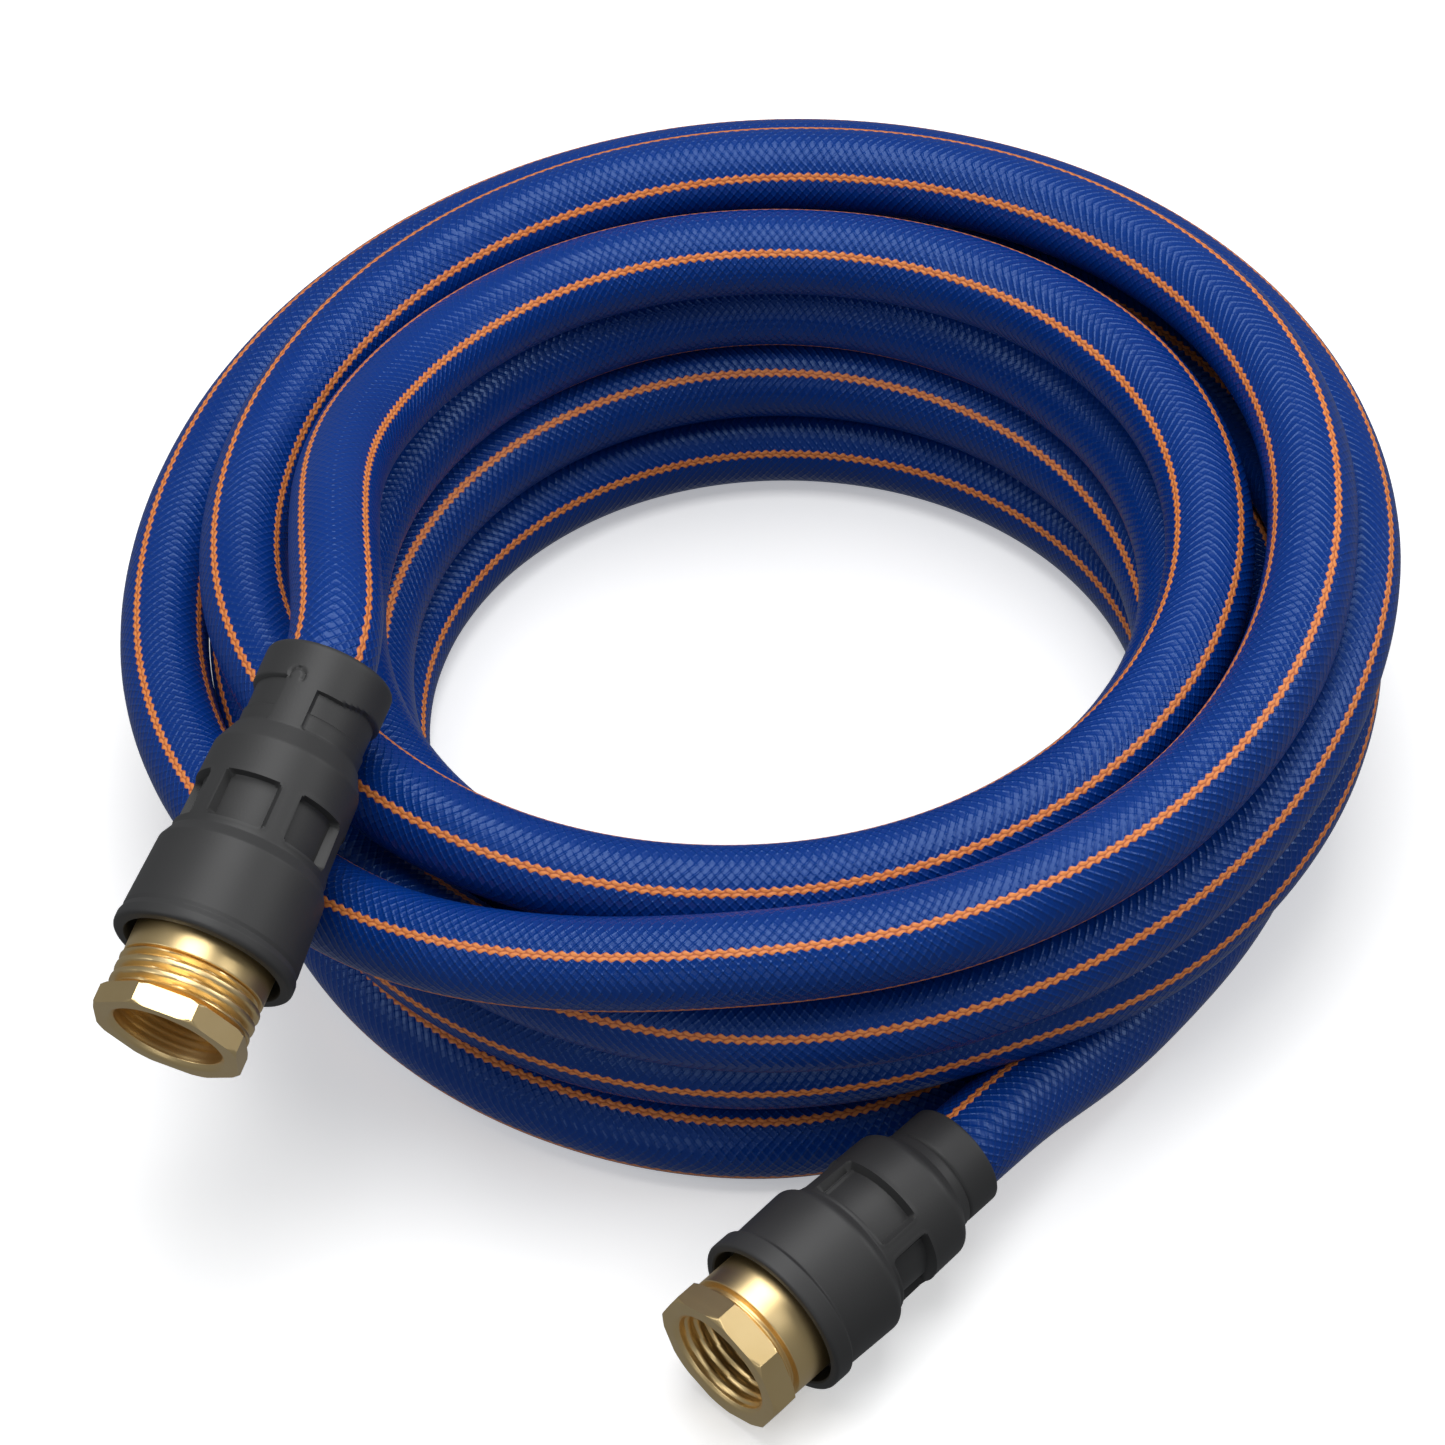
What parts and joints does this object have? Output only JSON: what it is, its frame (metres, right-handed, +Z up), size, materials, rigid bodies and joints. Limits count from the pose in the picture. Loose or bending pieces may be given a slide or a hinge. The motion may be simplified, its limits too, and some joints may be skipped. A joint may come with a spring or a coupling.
{
  "type": "garden hose",
  "caption": "Coiled garden hose, blue with lengthwise lines, with a male and a swivelling female brass fitting in moulded grips.",
  "frame": {"origin": "on the floor under the middle of the whole object's bounding box", "axes": "+Z up from the floor; the coil lies flat about Z, and both fittings are on the -Y side, the male one at -X on top of the coil and the female one near the floor"},
  "size_m": [0.2414, 0.29, 0.0954],
  "materials": {
    "hose": "satin ribbed plastic",
    "grip": "fine matt",
    "brass": "turned, polished",
    "washer": "matt"
  },
  "bodies": {
    "hose": {"hose_coil": "hose", "hose_lead_female": "hose", "hose_tail_male": "hose", "male_grip": "grip", "male_fitting": "brass", "female_grip": "grip", "female_tailpiece": "brass", "hose_washer": "washer"},
    "nut": {"swivel_nut": "brass"}
  },
  "joints": [
    {"name": "nut_swivel", "type": "hinge", "parent": "hose", "child": "nut", "pos_m": [-0.00685, -0.12793, 0.01654], "axis": [-0.726, -0.6865, -0.0401], "continuous": true}
  ]
}
